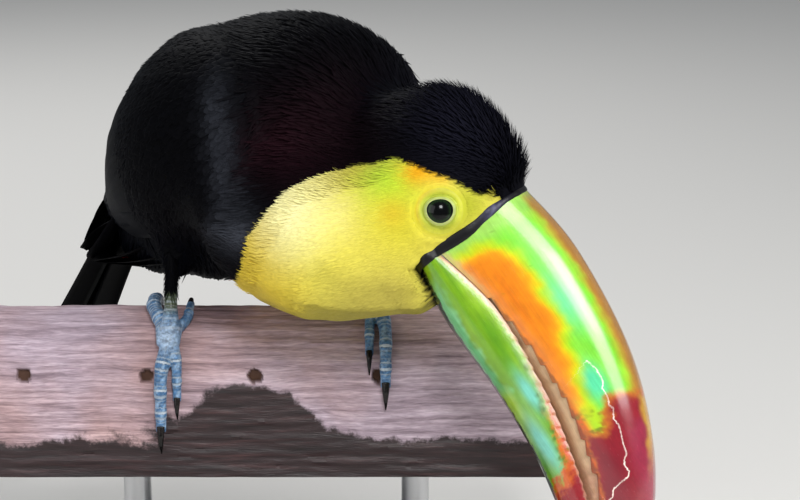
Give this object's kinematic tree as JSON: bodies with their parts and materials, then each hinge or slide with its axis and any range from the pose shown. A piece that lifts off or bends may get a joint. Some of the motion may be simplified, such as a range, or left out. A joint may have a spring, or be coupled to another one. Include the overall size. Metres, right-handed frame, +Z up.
{
  "type": "toucan",
  "caption": "Life-size still model of a keel-billed toucan leaning down from a short length of weathered wooden rail, held up by steel rods on a flat base",
  "frame": {"origin": "centre of the stand base's underside, on the floor", "axes": "+Z up; X along the rail and the base's long side; the bird leans out over the -Y side, with its bill down towards +X and its tail back towards -X"},
  "size_m": [0.273, 0.2153, 0.246],
  "materials": {
    "plumage_black": "feathers, matt with a blue sheen",
    "plumage_yellow": "soft feathers",
    "bill": "semi-gloss horn",
    "eye": "polished",
    "leg_skin": "scaly, satin",
    "claw": "semi-gloss horn",
    "perch_wood": "weathered, bare",
    "stand_base": "satin black lacquer",
    "stand_rod": "brushed"
  },
  "bodies": {
    "root": {"head": "plumage_yellow", "neck": "plumage_yellow", "trunk": "plumage_black", "tail": "plumage_black", "bill_upper": "bill", "bill_lower": "bill", "eye_right": "eye", "eye_left": "eye", "wing_right": "plumage_black", "wing_left": "plumage_black", "thigh_right": "plumage_black", "thigh_left": "plumage_black", "tarsus_right": "leg_skin", "tarsus_left": "leg_skin", "toe_right_1": "leg_skin", "toe_right_2": "leg_skin", "toe_right_3": "leg_skin", "toe_right_4": "leg_skin", "toe_left_1": "leg_skin", "toe_left_2": "leg_skin", "toe_left_3": "leg_skin", "toe_left_4": "leg_skin", "claw_right_1": "claw", "claw_right_2": "claw", "claw_right_3": "claw", "claw_right_4": "claw", "claw_left_1": "claw", "claw_left_2": "claw", "claw_left_3": "claw", "claw_left_4": "claw", "perch": "perch_wood", "stand_base": "stand_base", "stand_rod_left": "stand_rod", "stand_rod_right": "stand_rod"}
  },
  "joints": []
}
